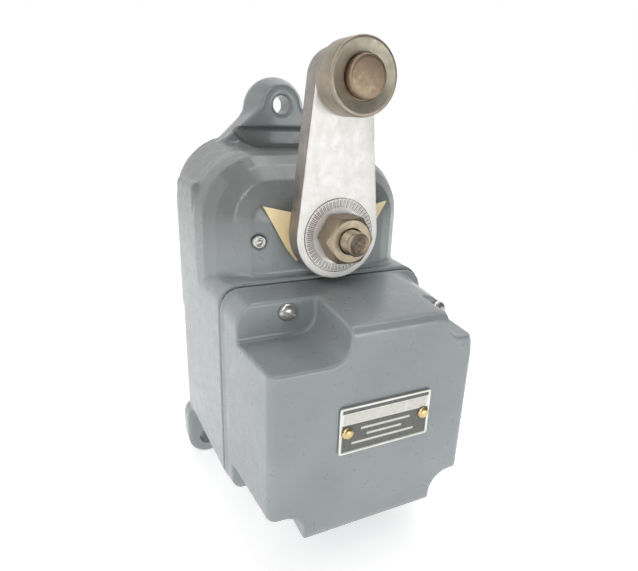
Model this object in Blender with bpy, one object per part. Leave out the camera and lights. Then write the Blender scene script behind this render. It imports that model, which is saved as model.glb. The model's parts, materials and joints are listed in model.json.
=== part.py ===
"""Heavy-duty lever-operated limit switch: a cast housing with a front cover, an operating shaft with a
roller lever, and a snap of sliding contacts inside.

The origin lies on the back mounting face, where the axis of the operating shaft meets it. +Z is up,
+X is to the right seen from the front, and the front faces -Y. Lengths below are in millimetres, and
every mesh is made in metres.
"""

import math

import bmesh
import bpy
from mathutils import Matrix, Vector

MM = 0.001
GAP = 0.3  # clearance between touching pieces

# Housing
SEAM_Y = -64.0  # parting plane between housing and cover
BOTTOM_Z = -105.2
RIM_TOP_Z = -18.0  # top of the flat rim that the cover closes
SEAM_HALF = 45.6  # half width at the parting plane
SEAM_CORNER = 10.0  # upper right corner at the parting plane
BACK_HALF = 49.0  # half width at the back
BACK_WALL_Y = -4.0  # back of the casting between the mounting pads
HEAD_FRONT_Y = SEAM_Y + 4.5
HEAD_HALF = 44.5
HEAD_SHIFT = -1.3  # the front of the head stands a little to the left
HEAD_TOP_Z = 28.5
HEAD_CORNER = 25.0
HEAD_EDGE_DEPTH = 26.0  # front edge of the head, a wide rounding
HEAD_EDGE_WIDTH = 22.5
SHOULDER_TOP_Z = 34.0
EAR_X = -1.3  # upper mounting hole
EAR_Z = 47.3
EAR_ROOT_Z = 44.5  # centre of the ear's round end where it meets the mounting face
EAR_ROOT_RADIUS = 15.0
EAR_FACE_RADIUS = 9.2  # the ear tapers to this round the hole
EAR_THICKNESS = 13.0
EAR_PAD_Z = 37.5  # lower edge of the pad round the upper mounting hole
PANEL_TOP_Z = 16.0
PANEL_FRONT_Y = {-1: -35.0, 1: -20.0}  # front ends of the side panels, left and right
LOW_EAR_X = 41.0  # lower mounting holes
LOW_EAR_Z = -119.5
LOW_EAR_RADIUS = 9.8
LOW_EAR_THICKNESS = 12.0
MOUNT_HOLE = 4.1  # radius, for 5/16 in screws
CAVITY_HALF = 41.0
CAVITY_BOTTOM_Z = -93.0
CAVITY_TOP_Z = -32.0
CAVITY_BACK_Y = -10.0
CONDUIT_RADIUS = 10.6  # 1/2 in conduit entry
CONDUIT_Y = -34.0

# Cover
COVER_DEPTH = 45.0
COVER_HALF_FRONT = 41.0
COVER_TOP_Z = -18.9
COVER_FRONT_TOP_Z = -22.2
COVER_WALL = 4.5
RIM_PLATE = 1.6  # flat edge of the cover along the seam
RIGHT_CORNER = 17.0  # upper right corner in front of the rim plate
GASKET = 0.4
SCOOP_FLOOR_Z = {-1: -34.6, 1: -32.6}  # recesses over the two upper screws, left and right
SCOOP_X = {-1: 12.4, 1: 27.6}
SCOOP_DEPTH = {-1: 16.5, 1: 27.0}  # from the seam to the boss under the screw
NOTCH_TOP_Z = -92.0
NOTCH_X = 27.5
NOTCH_DEPTH = 9.0
UPPER_SCREW = {-1: (-24.4, -25.0), 1: (35.6, -28.1)}
LOWER_SCREW = {-1: (-36.0, -98.6), 1: (36.0, -98.6)}
SCREW_SHANK = 1.9
SCREW_HEAD = 3.5
SCREW_HEAD_HEIGHT = 2.2

# Operating shaft, lever and roller
SHAFT_RADIUS = 7.0
SHAFT_WAIST = 5.5
LEVER_SEAT = 6.4
STUD_RADIUS = 4.6
SHAFT_END_Y = SEAM_Y - 24.0
LEVER_FRONT_Y = SEAM_Y - 8.0
LEVER_THICKNESS = 9.5
LEVER_LENGTH = 56.0
HUB_RADIUS = 17.2
TIP_RADIUS = 11.2
NUT_ACROSS_FLATS = 17.0
NUT_HEIGHT = 9.2
ROLLER_RADIUS = 12.7
ROLLER_WIDTH = 12.0
PIN_HEAD_RADIUS = 7.1

# Contact mechanism
CRANK_RADIUS = 12.0  # from the shaft axis to the crank pin
CRANK_PIN = 2.2
SWING = math.radians(40.0)
TRAVEL = CRANK_RADIUS * math.sin(SWING)
SLOT_HALF = CRANK_PIN + 0.4
BRIDGE_Z = -61.0
TIP_SPREAD = 11.0  # contact tips above and below the middle of a bridge
BRIDGE_X = 13.6
TIP_HEIGHT = 1.0
ROD_Z = (-42.0, -80.0)
ROD_Y = -27.0
ROD_RADIUS = 2.0

LEVER_AXIS = (0.0, LEVER_FRONT_Y + LEVER_THICKNESS / 2, 0.0)
ROLLER_BACK_Y = LEVER_FRONT_Y - 1.3
ROLLER_FRONT_Y = ROLLER_BACK_Y - ROLLER_WIDTH
ROLLER_AXIS = (0.0, (ROLLER_BACK_Y + ROLLER_FRONT_Y) / 2, LEVER_LENGTH)
CARRIER_AXIS = (0.0, ROD_Y, BRIDGE_Z)

for old in list(bpy.data.objects):
    bpy.data.objects.remove(old, do_unlink=True)

parts = bpy.data.collections.new("limit_switch")
helpers = bpy.data.collections.new("cutters")
for group in (parts, helpers):
    bpy.context.scene.collection.children.link(group)


# ---------------------------------------------------------------- materials
def material(name, colour, roughness, metallic=0.0):
    made = bpy.data.materials.new(name)
    made.use_nodes = True
    shader = made.node_tree.nodes["Principled BSDF"]
    shader.inputs["Base Color"].default_value = (*colour, 1.0)
    shader.inputs["Roughness"].default_value = roughness
    shader.inputs["Metallic"].default_value = metallic
    return made


FINISHES = {
    "enamel": ((0.27, 0.33, 0.34), 0.42, 0.0),
    "zinc": ((0.80, 0.79, 0.78), 0.40, 1.0),
    "steel": ((0.46, 0.43, 0.38), 0.35, 1.0),
    "brass": ((0.70, 0.58, 0.38), 0.32, 1.0),
    "bronze": ((0.58, 0.44, 0.34), 0.38, 1.0),
    "silver": ((0.88, 0.88, 0.86), 0.25, 1.0),
    "aluminium": ((0.78, 0.79, 0.78), 0.38, 1.0),
    "rubber": ((0.03, 0.03, 0.03), 0.75, 0.0),
    "fibre": ((0.34, 0.24, 0.16), 0.80, 0.0),
    "phenolic": ((0.06, 0.04, 0.035), 0.45, 0.0),
    "yellow": ((0.80, 0.66, 0.34), 0.50, 0.0),
}


# ---------------------------------------------------------------- outlines in the XZ plane
def arc(centre, radius, start, end, steps):
    """Points on an arc, angles in degrees counted from +X towards +Z."""
    angles = [math.radians(start + (end - start) * i / steps) for i in range(steps + 1)]
    return [(centre[0] + radius * math.cos(a), centre[1] + radius * math.sin(a)) for a in angles]


def rounded(half, bottom, top, low_radius, high_radius, steps=6, middle=0.0, right_radius=None):
    """A rectangle with rounded corners, starting at its lower right and going round anticlockwise."""
    left, right = middle - half, middle + half
    upper = high_radius if right_radius is None else right_radius
    return (
        arc((right - low_radius, bottom + low_radius), low_radius, -90, 0, steps)
        + arc((right - upper, top - upper), upper, 0, 90, steps)
        + arc((left + high_radius, top - high_radius), high_radius, 90, 180, steps)
        + arc((left + low_radius, bottom + low_radius), low_radius, 180, 270, steps)
    )


def link_outline(low, low_radius, high, high_radius, steps=12):
    """Two circles joined by their outer tangents: the shape of a lever or a lug."""
    run = Vector(high) - Vector(low)
    turn = math.degrees(math.atan2(run.y, run.x))
    lean = math.degrees(math.acos((low_radius - high_radius) / run.length))
    return arc(high, high_radius, turn - lean, turn + lean, steps) + arc(
        low, low_radius, turn + lean, turn + 360 - lean, steps + 6
    )


# ---------------------------------------------------------------- meshes
def loft(bm, sections):
    """A closed solid through outlines with the same number of points, each given as (y, outline)."""
    rings = [[bm.verts.new((x * MM, y * MM, z * MM)) for x, z in outline] for y, outline in sections]
    count = len(rings[0])
    for near, far in zip(rings, rings[1:]):
        for i in range(count):
            j = (i + 1) % count
            bm.faces.new((near[i], near[j], far[j], far[i]))
    bm.faces.new(rings[0])
    bm.faces.new(rings[-1])
    bmesh.ops.recalc_face_normals(bm, faces=bm.faces)


def box(bm, x, y, z):
    """A box from its lowest and highest x, y and z."""
    size = [(high - low) * MM for low, high in (x, y, z)]
    middle = [(high + low) / 2 * MM for low, high in (x, y, z)]
    bmesh.ops.create_cube(bm, matrix=Matrix.Translation(middle) @ Matrix.Diagonal((*size, 1.0)))


def rod(bm, start, end, radius, sides=24, end_radius=None):
    """A cylinder or cone between two points."""
    start, end = Vector(start) * MM, Vector(end) * MM
    turn = Vector((0, 0, 1)).rotation_difference(end - start).to_matrix().to_4x4()
    bmesh.ops.create_cone(
        bm,
        cap_ends=True,
        segments=sides,
        radius1=radius * MM,
        radius2=(radius if end_radius is None else end_radius) * MM,
        depth=(end - start).length,
        matrix=Matrix.Translation((start + end) / 2) @ turn,
    )


def turned(bm, profile, centre=(0.0, 0.0), sides=32, closed=False):
    """A turned shape about an axis along Y through (x, z): profile is a list of (radius, y)."""
    start = len(bm.verts)
    points = [bm.verts.new(((centre[0] + r) * MM, y * MM, centre[1] * MM)) for r, y in profile]
    edges = [bm.edges.new(pair) for pair in zip(points, points[1:])]
    if closed:
        edges.append(bm.edges.new((points[-1], points[0])))
    bmesh.ops.spin(
        bm,
        geom=points + edges,
        cent=(centre[0] * MM, 0, centre[1] * MM),
        axis=(0, 1, 0),
        angle=math.tau,
        steps=sides,
        use_merge=True,
        use_duplicate=False,
    )
    bm.verts.ensure_lookup_table()
    bmesh.ops.remove_doubles(bm, verts=bm.verts[start:], dist=0.00001)
    bmesh.ops.recalc_face_normals(bm, faces=bm.faces)


def to_object(name, bm, finish, group, parent=None):
    mesh = bpy.data.meshes.new(name)
    if parent:
        bmesh.ops.translate(bm, verts=bm.verts, vec=-parent.location)
    bm.to_mesh(mesh)
    bm.free()
    mesh.materials.append(material(name, *FINISHES[finish]))
    mesh.shade_smooth()
    mesh.set_sharp_from_angle(angle=math.radians(35))
    obj = bpy.data.objects.new(name, mesh)
    group.objects.link(obj)
    if parent:
        obj.parent = parent
    return obj


def part(name, finish, make, parent=None):
    """A sub-part whose mesh is made by a function that fills a bmesh."""
    bm = bmesh.new()
    make(bm)
    return to_object(name, bm, finish, parts, parent)


def combine(obj, label, make, operation="DIFFERENCE"):
    """Cuts or joins a helper solid with an exact Boolean."""
    bm = bmesh.new()
    make(bm)
    tool = to_object(f"{obj.name}_{label}", bm, "steel", helpers)
    tool.hide_render = True
    tool.display_type = "WIRE"
    step = obj.modifiers.new(label, "BOOLEAN")
    step.operation = operation
    step.solver = "EXACT"
    step.object = tool


def joint_axis(name, location):
    """An empty on a joint's axis, which carries the pieces that move with it."""
    empty = bpy.data.objects.new(name, None)
    empty.location = Vector(location) * MM
    parts.objects.link(empty)
    return empty


lever_axis = joint_axis("lever_axis", LEVER_AXIS)
roller_axis = joint_axis("roller_axis", ROLLER_AXIS)
carrier_axis = joint_axis("carrier_axis", CARRIER_AXIS)


# ---------------------------------------------------------------- housing
def between(start, end, share):
    return start + (end - start) * share


def head_section(y, inset):
    """The head's arch at one depth: it widens towards the back."""
    share = (y - HEAD_FRONT_Y) / -HEAD_FRONT_Y
    half = between(HEAD_HALF, BACK_HALF, share) - inset
    top = between(HEAD_TOP_Z, SHOULDER_TOP_Z, share**3) - inset
    corner = between(HEAD_CORNER, HEAD_CORNER + 3, share) - inset
    middle = between(HEAD_SHIFT, 0.0, share)
    return (y, rounded(half, -50.0 + inset, top, 3.0, corner, 8, middle))


def head(bm):
    sections = []
    for step in range(6):
        angle = math.radians(90 * step / 5)
        y = HEAD_FRONT_Y + HEAD_EDGE_DEPTH * (1 - math.cos(angle))
        sections.append(head_section(y, HEAD_EDGE_WIDTH * (1 - math.sin(angle))))
    sections += [head_section(y, 0.0) for y in (-24.0, -12.0)] + [head_section(0.0, 0.6)]
    loft(bm, sections)


def lower_body(bm):
    def section(y, inset=0.0):
        half = between(SEAM_HALF, BACK_HALF, (y - SEAM_Y) / -SEAM_Y) - inset
        return (y, rounded(half, BOTTOM_Z + inset, RIM_TOP_Z - inset, 5.0, 8.5, 6, 0.0, SEAM_CORNER))

    loft(bm, [section(SEAM_Y + 0.4), section(BACK_WALL_Y - 1.0), section(BACK_WALL_Y, 1.0)])


def ear(bm):
    """The upper mounting ear: a lug that tapers to a small face, with flanks that sweep down to the shoulders."""
    face = ((26.0, 33.0), (10.2, 46.0), EAR_Z, EAR_FACE_RADIUS)
    root = ((30.0, 29.0), (17.0, 41.5), EAR_ROOT_Z, EAR_ROOT_RADIUS)

    def section(y, share, inset=0.0):
        """An outline part of the way from the face to the root."""
        hip, waist = ((between(near[0], far[0], share) - inset, between(near[1], far[1], share))
                      for near, far in zip(face[:2], root[:2]))
        centre, radius = (between(near, far, share) for near, far in zip(face[2:], root[2:]))
        right = [(hip[0], 8.0), hip, waist]
        crown = arc((0.0, centre), radius - inset, 0, 180, 12)
        outline = right + crown + [(-x, z) for x, z in reversed(right)]
        return (y, [(EAR_X + x, z) for x, z in outline])

    front = -EAR_THICKNESS
    loft(bm, [section(front, 0.0, 0.8), section(front + 0.8, 0.0), section(front + 6.0, 0.55),
              section(-2.5, 1.0), section(0.0, 1.0)])


def ear_groove(bm):
    """The step under the pad of the upper ear, down to the flat top of the head."""
    outline = [(17.0, HEAD_TOP_Z), (27.0, EAR_PAD_Z), (-27.0, EAR_PAD_Z), (-17.0, HEAD_TOP_Z)]
    loft(bm, [(-34.0, outline), (-EAR_THICKNESS + 3.5, outline)])


def side_panels(bm):
    """The flat flanks of the lower body, which run on up beside the head."""
    for side in (-1, 1):
        def section(y, inset):
            half = between(SEAM_HALF, BACK_HALF, (y - SEAM_Y) / -SEAM_Y) - inset
            return (y, rounded(8.0, -40.0, PANEL_TOP_Z - inset, 2.0, 3.0, 3, side * (half - 8.0)))

        front = PANEL_FRONT_Y[side]
        loft(bm, [section(front, 3.5), section(front + 1.5, 1.2), section(front + 5.0, 0.0),
                  section(BACK_WALL_Y - 1.0, 0.0), section(BACK_WALL_Y, 1.0)])


def lower_ears(bm):
    for side in (-1, 1):
        low = (side * LOW_EAR_X, LOW_EAR_Z)
        high = (side * (LOW_EAR_X + 1.0), LOW_EAR_Z + 10.0)
        sections = [(-LOW_EAR_THICKNESS + dy, link_outline(low, LOW_EAR_RADIUS - inset, high, 9.0 - inset))
                    for dy, inset in ((0.0, 1.5), (1.5, 0.0), (LOW_EAR_THICKNESS, 0.0))]
        loft(bm, sections)


def cover_screw_places():
    """(x, z, y of the boss under the head, y of the shank's end) of the four cover screws."""
    for side in (-1, 1):
        yield *UPPER_SCREW[side], SEAM_Y - SCOOP_DEPTH[side], SEAM_Y + 8.5
        yield *LOWER_SCREW[side], SEAM_Y - NOTCH_DEPTH, SEAM_Y + 12.0


def screw_holes(bm, first_y, extra=0.6):
    for x, z, _, end in cover_screw_places():
        rod(bm, (x, first_y, z), (x, end + extra, z), SCREW_SHANK + 0.5, 16)


housing = part("housing", "enamel", head)
combine(housing, "lower_body", lower_body, "UNION")
combine(housing, "ear", ear, "UNION")
combine(housing, "ear_groove", ear_groove)
combine(housing, "side_panels", side_panels, "UNION")
combine(housing, "lower_ears", lower_ears, "UNION")
combine(housing, "box_cavity", lambda bm: loft(bm, [
    (y, rounded(CAVITY_HALF, CAVITY_BOTTOM_Z, CAVITY_TOP_Z, 4.0, 4.0, 3)) for y in (-70.0, CAVITY_BACK_Y)]))
combine(housing, "head_cavity", lambda bm: loft(bm, [
    (y, rounded(32.0, -45.0, 19.5, 4.0, 16.0, 4)) for y in (-53.0, -12.0)]))
combine(housing, "rear_boss", lambda bm: rod(bm, (0, -18.0, 0), (0, -6.0, 0), 9.0, 32), "UNION")
combine(housing, "front_bore", lambda bm: rod(bm, (0, -70.0, 0), (0, -45.0, 0), 9.0, 32))
combine(housing, "rear_bore", lambda bm: rod(bm, (0, -30.0, 0), (0, -8.0, 0), 8.0, 32))
combine(housing, "spring_hole", lambda bm: rod(bm, (0, -16.0, 11.4), (0, -9.0, 11.4), 1.6, 12))
combine(housing, "plug_hole", lambda bm: rod(bm, (-27.8, -70.0, -3.6), (-27.8, -56.5, -3.6), 2.9, 16))
combine(housing, "cover_screw_holes", lambda bm: screw_holes(bm, SEAM_Y - 5.0))
combine(housing, "conduit_hole", lambda bm: rod(
    bm, (0, CONDUIT_Y, BOTTOM_Z - 10), (0, CONDUIT_Y, CAVITY_BOTTOM_Z + 10), CONDUIT_RADIUS, 32))


def mounting_holes(bm):
    for x, z in ((EAR_X, EAR_Z), (-LOW_EAR_X, LOW_EAR_Z), (LOW_EAR_X, LOW_EAR_Z)):
        rod(bm, (x, -30.0, z), (x, 5.0, z), MOUNT_HOLE, 24)


combine(housing, "mounting_holes", mounting_holes)

BLOCK_SCREWS = ((-20.0, BRIDGE_Z), (20.0, BRIDGE_Z))
GROUND_SCREW = (33.0, -88.9)


def inner_screw_holes(bm):
    for x, z in BLOCK_SCREWS + (GROUND_SCREW,):
        rod(bm, (x, -20.0, z), (x, -5.0, z), 2.0, 12)


combine(housing, "inner_screw_holes", inner_screw_holes)


# ---------------------------------------------------------------- cover
def cover_shell(bm):
    back, front = SEAM_Y - 0.6, SEAM_Y - COVER_DEPTH

    def section(y, inset):
        share = (back - y) / (back - front)
        half = between(SEAM_HALF, COVER_HALF_FRONT, share) - inset
        top = between(COVER_TOP_Z, COVER_FRONT_TOP_Z, share) - inset
        right_radius = SEAM_CORNER if y > SEAM_Y - RIM_PLATE - 1.0 else RIGHT_CORNER
        return (y, rounded(half, BOTTOM_Z + inset, top, 5.0, 8.0, 6, 0.0, right_radius))

    edge = 3.2
    sections = [section(back, 0.0), section(SEAM_Y - RIM_PLATE, 0.0), section(SEAM_Y - RIM_PLATE - 2.0, 0.4)]
    for step in range(4):
        angle = math.radians(90 * step / 3)
        sections.append(section(front + edge * (1 - math.sin(angle)), edge * (1 - math.cos(angle))))
    loft(bm, sections)


def cover_recesses(bm):
    front = SEAM_Y - COVER_DEPTH - 5.0
    for side in (-1, 1):
        scoop = SEAM_Y - SCOOP_DEPTH[side]
        middle = side * (SCOOP_X[side] + 25.0)
        loft(bm, [(y, rounded(25.0, SCOOP_FLOOR_Z[side], 5.0, 7.5, 3.0, 5, middle)) for y in (front, scoop)])
        notch = SEAM_Y - NOTCH_DEPTH
        middle = side * (NOTCH_X + 25.0)
        loft(bm, [(y, rounded(25.0, BOTTOM_Z - 20.0, NOTCH_TOP_Z, 3.0, 9.0, 5, middle))
                  for y in (front, notch)])


def cover_cavity(bm):
    inner_front = SEAM_Y - COVER_DEPTH + COVER_WALL
    loft(bm, [(y, rounded(36.0, -86.5, -39.5, 4.0, 4.0, 3)) for y in (-50.0, inner_front)])


cover = part("cover", "enamel", cover_shell)
combine(cover, "recesses", cover_recesses)
combine(cover, "cavity", cover_cavity)
combine(cover, "rim_cavity", lambda bm: loft(bm, [
    (y, rounded(40.4, -87.5, -33.0, 4.0, 4.0, 3)) for y in (-50.0, SEAM_Y - 10.0)]))
combine(cover, "screw_holes", lambda bm: screw_holes(bm, -120.0))

PLATE_X, PLATE_Z = 2.9, -60.4
PLATE_PINS = ((-12.9, -61.0), (18.9, -60.2))
COVER_FRONT_Y = SEAM_Y - COVER_DEPTH


def plate_pin_holes(bm):
    for x, z in PLATE_PINS:
        rod(bm, (x, COVER_FRONT_Y - 5.0, z), (x, COVER_FRONT_Y + 3.2, z), 1.5, 12)


combine(cover, "pin_holes", plate_pin_holes)

gasket = part("cover_gasket", "rubber", lambda bm: loft(bm, [
    (y, rounded(SEAM_HALF - 0.6, BOTTOM_Z + 0.6, COVER_TOP_Z - 0.6, 4.5, 7.5, 4))
    for y in (SEAM_Y - GASKET / 2 - 0.05, SEAM_Y + GASKET / 2 - 0.05)]))
combine(gasket, "opening", lambda bm: loft(bm, [
    (y, rounded(CAVITY_HALF, CAVITY_BOTTOM_Z, CAVITY_TOP_Z, 4.0, 4.0, 3)) for y in (-70.0, -60.0)]))
combine(gasket, "screw_holes", lambda bm: screw_holes(bm, SEAM_Y - 5.0))


def dome_head(bm, x, z, seat, radius, height, shank, end, sides=24):
    """A screw or pin along Y: a low dome on the front and a plain shank behind it."""
    crown = seat - height
    turned(bm, [(0.0, crown), (radius * 0.45, crown + height * 0.12), (radius * 0.8, crown + height * 0.45),
                (radius, crown + height * 0.8), (radius, seat), (shank, seat), (shank, end), (0.0, end)],
           (x, z), sides)


def cover_screw(number, x, z, boss, end):
    seat, height = boss - GAP, SCREW_HEAD_HEIGHT
    screw = part(f"cover_screw_{number}", "zinc", lambda bm: dome_head(
        bm, x, z, seat, SCREW_HEAD, height, SCREW_SHANK, end))
    combine(screw, "slot", lambda bm: box(
        bm, (x - 5.0, x + 5.0), (seat - height - 1.0, seat - height + 1.1), (z - 0.5, z + 0.5)))


for number, place in enumerate(cover_screw_places(), 1):
    cover_screw(number, *place)

nameplate = part("nameplate", "aluminium", lambda bm: loft(bm, [
    (y, rounded(18.9, PLATE_Z - 9.5, PLATE_Z + 9.5, 1.0, 1.0, 2, PLATE_X))
    for y in (COVER_FRONT_Y - GAP - 0.8, COVER_FRONT_Y - GAP)]))


def plate_holes(bm):
    for x, z in PLATE_PINS:
        rod(bm, (x, COVER_FRONT_Y - 5.0, z), (x, COVER_FRONT_Y + 5.0, z), 1.5, 12)


combine(nameplate, "pin_holes", plate_holes)


for number, (pin_x, pin_z) in enumerate(PLATE_PINS, 1):
    part(f"nameplate_pin_{number}", "brass", lambda bm: dome_head(
        bm, pin_x, pin_z, COVER_FRONT_Y - 2 * GAP - 0.8, 2.3, 1.2, 1.15, COVER_FRONT_Y + 2.8, 16))

part("cover_liner", "fibre", lambda bm: loft(bm, [
    (y, rounded(35.0, -85.5, -40.5, 3.0, 3.0, 3))
    for y in (COVER_FRONT_Y + COVER_WALL + GAP, COVER_FRONT_Y + COVER_WALL + GAP + 0.8)]))

# ---------------------------------------------------------------- head fittings
part("head_plug", "steel", lambda bm: turned(
    bm, [(0, -59.9), (2.2, -59.9), (2.55, -59.5), (2.55, -57.0), (0, -57.0)], (-27.8, -3.6), 20))

BUSHING_RADIUS = 8.7
part("shaft_bushing_front", "bronze", lambda bm: turned(
    bm, [(BUSHING_RADIUS, -62.0), (BUSHING_RADIUS, -52.7), (11.5, -52.7), (11.5, -50.3), (7.4, -50.3),
         (7.4, -55.0), (8.1, -55.0), (8.1, -57.4), (7.4, -57.4), (7.4, -62.0)], closed=True))
part("shaft_bushing_rear", "bronze", lambda bm: turned(
    bm, [(7.6, -18.0), (7.6, -9.4), (6.3, -9.4), (6.3, -18.0)], closed=True))
part("shaft_seal", "rubber", lambda bm: turned(
    bm, [(7.75 + 0.3 * math.cos(a), -56.2 + 0.85 * math.sin(a))
         for a in (math.tau * i / 8 for i in range(8))], closed=True))


def pointer(bm):
    """A plate with a pointed wing on each side that shows the two operating directions."""
    wing = [(13.0, -12.0), (23.5, 1.5), (27.0, 10.6), (10.0, 6.4)]
    outline = wing + [(-x, z) for x, z in reversed(wing)]
    back = HEAD_FRONT_Y - 0.8
    loft(bm, [(back - 1.1, outline), (back, outline)])


direction_plate = part("direction_plate", "yellow", pointer)
combine(direction_plate, "hole", lambda bm: rod(bm, (0, -70, 0), (0, -55, 0), BUSHING_RADIUS + GAP, 32))


# ---------------------------------------------------------------- operating shaft and lever
LEVER_BACK_Y = LEVER_FRONT_Y + LEVER_THICKNESS
RECESS_FLOOR_Y = LEVER_FRONT_Y + 0.8
WASHER_Y = RECESS_FLOOR_Y - GAP
NUT_SEAT_Y = WASHER_Y - 1.2 - GAP

shaft = part("operating_shaft", "steel", lambda bm: turned(bm, [
    (0, SHAFT_END_Y), (STUD_RADIUS - 0.6, SHAFT_END_Y), (STUD_RADIUS, SHAFT_END_Y + 0.6),
    (STUD_RADIUS, WASHER_Y), (LEVER_SEAT, WASHER_Y), (LEVER_SEAT, LEVER_BACK_Y + GAP),
    (SHAFT_RADIUS, LEVER_BACK_Y + GAP), (SHAFT_RADIUS, -41.0), (SHAFT_WAIST, -41.0), (SHAFT_WAIST, -30.2),
    (SHAFT_RADIUS, -30.2), (SHAFT_RADIUS, -19.0), (6.0, -19.0), (6.0, -9.0), (0, -9.0)]), lever_axis)
combine(shaft, "socket", lambda bm: rod(bm, (0, SHAFT_END_Y - 3, 0), (0, SHAFT_END_Y + 5.0, 0), 2.8, 6))


def lever_blank(bm):
    def outline(inset):
        return link_outline((0, 0), HUB_RADIUS - inset, (0, LEVER_LENGTH), TIP_RADIUS - inset, 14)

    loft(bm, [(LEVER_FRONT_Y, outline(0.9)), (LEVER_FRONT_Y + 0.9, outline(0.0)),
              (LEVER_BACK_Y - 0.9, outline(0.0)), (LEVER_BACK_Y, outline(0.9))])


lever = part("lever_arm", "zinc", lever_blank, lever_axis)


def lever_bores(bm):
    front, back = LEVER_FRONT_Y - 10, LEVER_BACK_Y + 10
    rod(bm, (0, front, 0), (0, back, 0), LEVER_SEAT + GAP, 32)
    rod(bm, (0, front, LEVER_LENGTH), (0, back, LEVER_LENGTH), 4.4, 24)


combine(lever, "recess", lambda bm: rod(bm, (0, LEVER_FRONT_Y - 10, 0), (0, RECESS_FLOOR_Y, 0), 14.6, 40))
combine(lever, "bores", lever_bores)


def toothed_washer(bm):
    """A lock washer with a crown of radial teeth."""
    teeth = 36
    outer = []
    for i in range(teeth * 2):
        angle = math.tau * i / (teeth * 2)
        radius = 14.2 if i % 2 else 13.2
        outer.append((radius * math.cos(angle), radius * math.sin(angle)))
    loft(bm, [(WASHER_Y - 1.2, outer), (WASHER_Y, outer)])


washer = part("lever_lock_washer", "zinc", toothed_washer, lever_axis)
combine(washer, "hole", lambda bm: rod(bm, (0, -90, 0), (0, -60, 0), STUD_RADIUS + GAP, 24))


def hexagon(bm):
    corner = NUT_ACROSS_FLATS / 2 / math.cos(math.radians(30))
    front = NUT_SEAT_Y - NUT_HEIGHT
    flats = arc((0, 0), corner, 0, 300, 5)
    loft(bm, [(front, flats), (NUT_SEAT_Y, flats)])


nut = part("lever_nut", "steel", hexagon, lever_axis)
combine(nut, "chamfer", lambda bm: turned(bm, [
    (0, NUT_SEAT_Y + 5), (30, NUT_SEAT_Y + 5), (30, NUT_SEAT_Y - NUT_HEIGHT + 12.0),
    (7.8, NUT_SEAT_Y - NUT_HEIGHT), (0, NUT_SEAT_Y - NUT_HEIGHT)], sides=40), "INTERSECT")
combine(nut, "bore", lambda bm: rod(bm, (0, -100, 0), (0, -60, 0), STUD_RADIUS + GAP, 24))

# ---------------------------------------------------------------- roller
PIN_REAR_Y = LEVER_BACK_Y + GAP
DISH_Y = ROLLER_FRONT_Y + 1.2
part("roller_pin", "bronze", lambda bm: turned(bm, [
    (0, DISH_Y - 3.9), (PIN_HEAD_RADIUS - 1.0, DISH_Y - 3.9), (PIN_HEAD_RADIUS, DISH_Y - 3.1),
    (PIN_HEAD_RADIUS, DISH_Y - GAP), (4.1, DISH_Y - GAP), (4.1, PIN_REAR_Y), (6.0, PIN_REAR_Y),
    (5.4, PIN_REAR_Y + 1.5), (0, PIN_REAR_Y + 1.9)], (0, LEVER_LENGTH)), lever_axis)
part("roller_washer", "zinc", lambda bm: turned(bm, [
    (4.4, LEVER_FRONT_Y - 1.0), (8.5, LEVER_FRONT_Y - 1.0), (8.5, LEVER_FRONT_Y - GAP),
    (4.4, LEVER_FRONT_Y - GAP)], (0, LEVER_LENGTH), closed=True), lever_axis)
part("roller", "steel", lambda bm: turned(bm, [
    (6.4, ROLLER_BACK_Y), (ROLLER_RADIUS - 0.8, ROLLER_BACK_Y), (ROLLER_RADIUS, ROLLER_BACK_Y - 0.8),
    (ROLLER_RADIUS, ROLLER_FRONT_Y + 0.8), (ROLLER_RADIUS - 0.8, ROLLER_FRONT_Y), (9.9, ROLLER_FRONT_Y),
    (9.3, DISH_Y), (6.4, DISH_Y)], (0, LEVER_LENGTH), 48, True), roller_axis)
part("roller_bushing", "bronze", lambda bm: turned(bm, [
    (4.45, ROLLER_BACK_Y), (6.05, ROLLER_BACK_Y), (6.05, DISH_Y), (4.45, DISH_Y)],
    (0, LEVER_LENGTH), 24, True), roller_axis)

# ---------------------------------------------------------------- crank and return spring
DISC_FRONT_Y, DISC_BACK_Y = -49.8, -42.0
crank = part("crank_disc", "steel", lambda bm: turned(bm, [
    (SHAFT_RADIUS + GAP, DISC_FRONT_Y), (15.5, DISC_FRONT_Y), (16.3, DISC_FRONT_Y + 0.8),
    (16.3, DISC_BACK_Y), (SHAFT_RADIUS + GAP, DISC_BACK_Y)], closed=True), lever_axis)
combine(crank, "pin_hole", lambda bm: rod(
    bm, (0, -60, -CRANK_RADIUS), (0, -30, -CRANK_RADIUS), CRANK_PIN + GAP, 16))
combine(crank, "set_screw_hole", lambda bm: rod(bm, (0, -46, 6), (0, -46, 20), 2.3, 16))
part("crank_pin", "steel", lambda bm: rod(
    bm, (0, DISC_FRONT_Y + 0.3, -CRANK_RADIUS), (0, -31.4, -CRANK_RADIUS), CRANK_PIN, 16), lever_axis)
part("crank_set_screw", "steel", lambda bm: rod(bm, (0, -46, SHAFT_RADIUS + GAP), (0, -46, 15.0), 2.0, 16),
     lever_axis)

COLLAR_Y = (-29.6, -27.8)
collar = part("spring_collar", "steel", lambda bm: turned(bm, [
    (SHAFT_RADIUS + GAP, COLLAR_Y[0]), (13.6, COLLAR_Y[0]), (13.6, COLLAR_Y[1]),
    (SHAFT_RADIUS + GAP, COLLAR_Y[1])], closed=True), lever_axis)
SPRING_RADIUS, SPRING_WIRE = 11.4, 1.0
combine(collar, "tang_hole", lambda bm: rod(
    bm, (0, -35, SPRING_RADIUS), (0, -20, SPRING_RADIUS), SPRING_WIRE + 0.4, 12))


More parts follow.
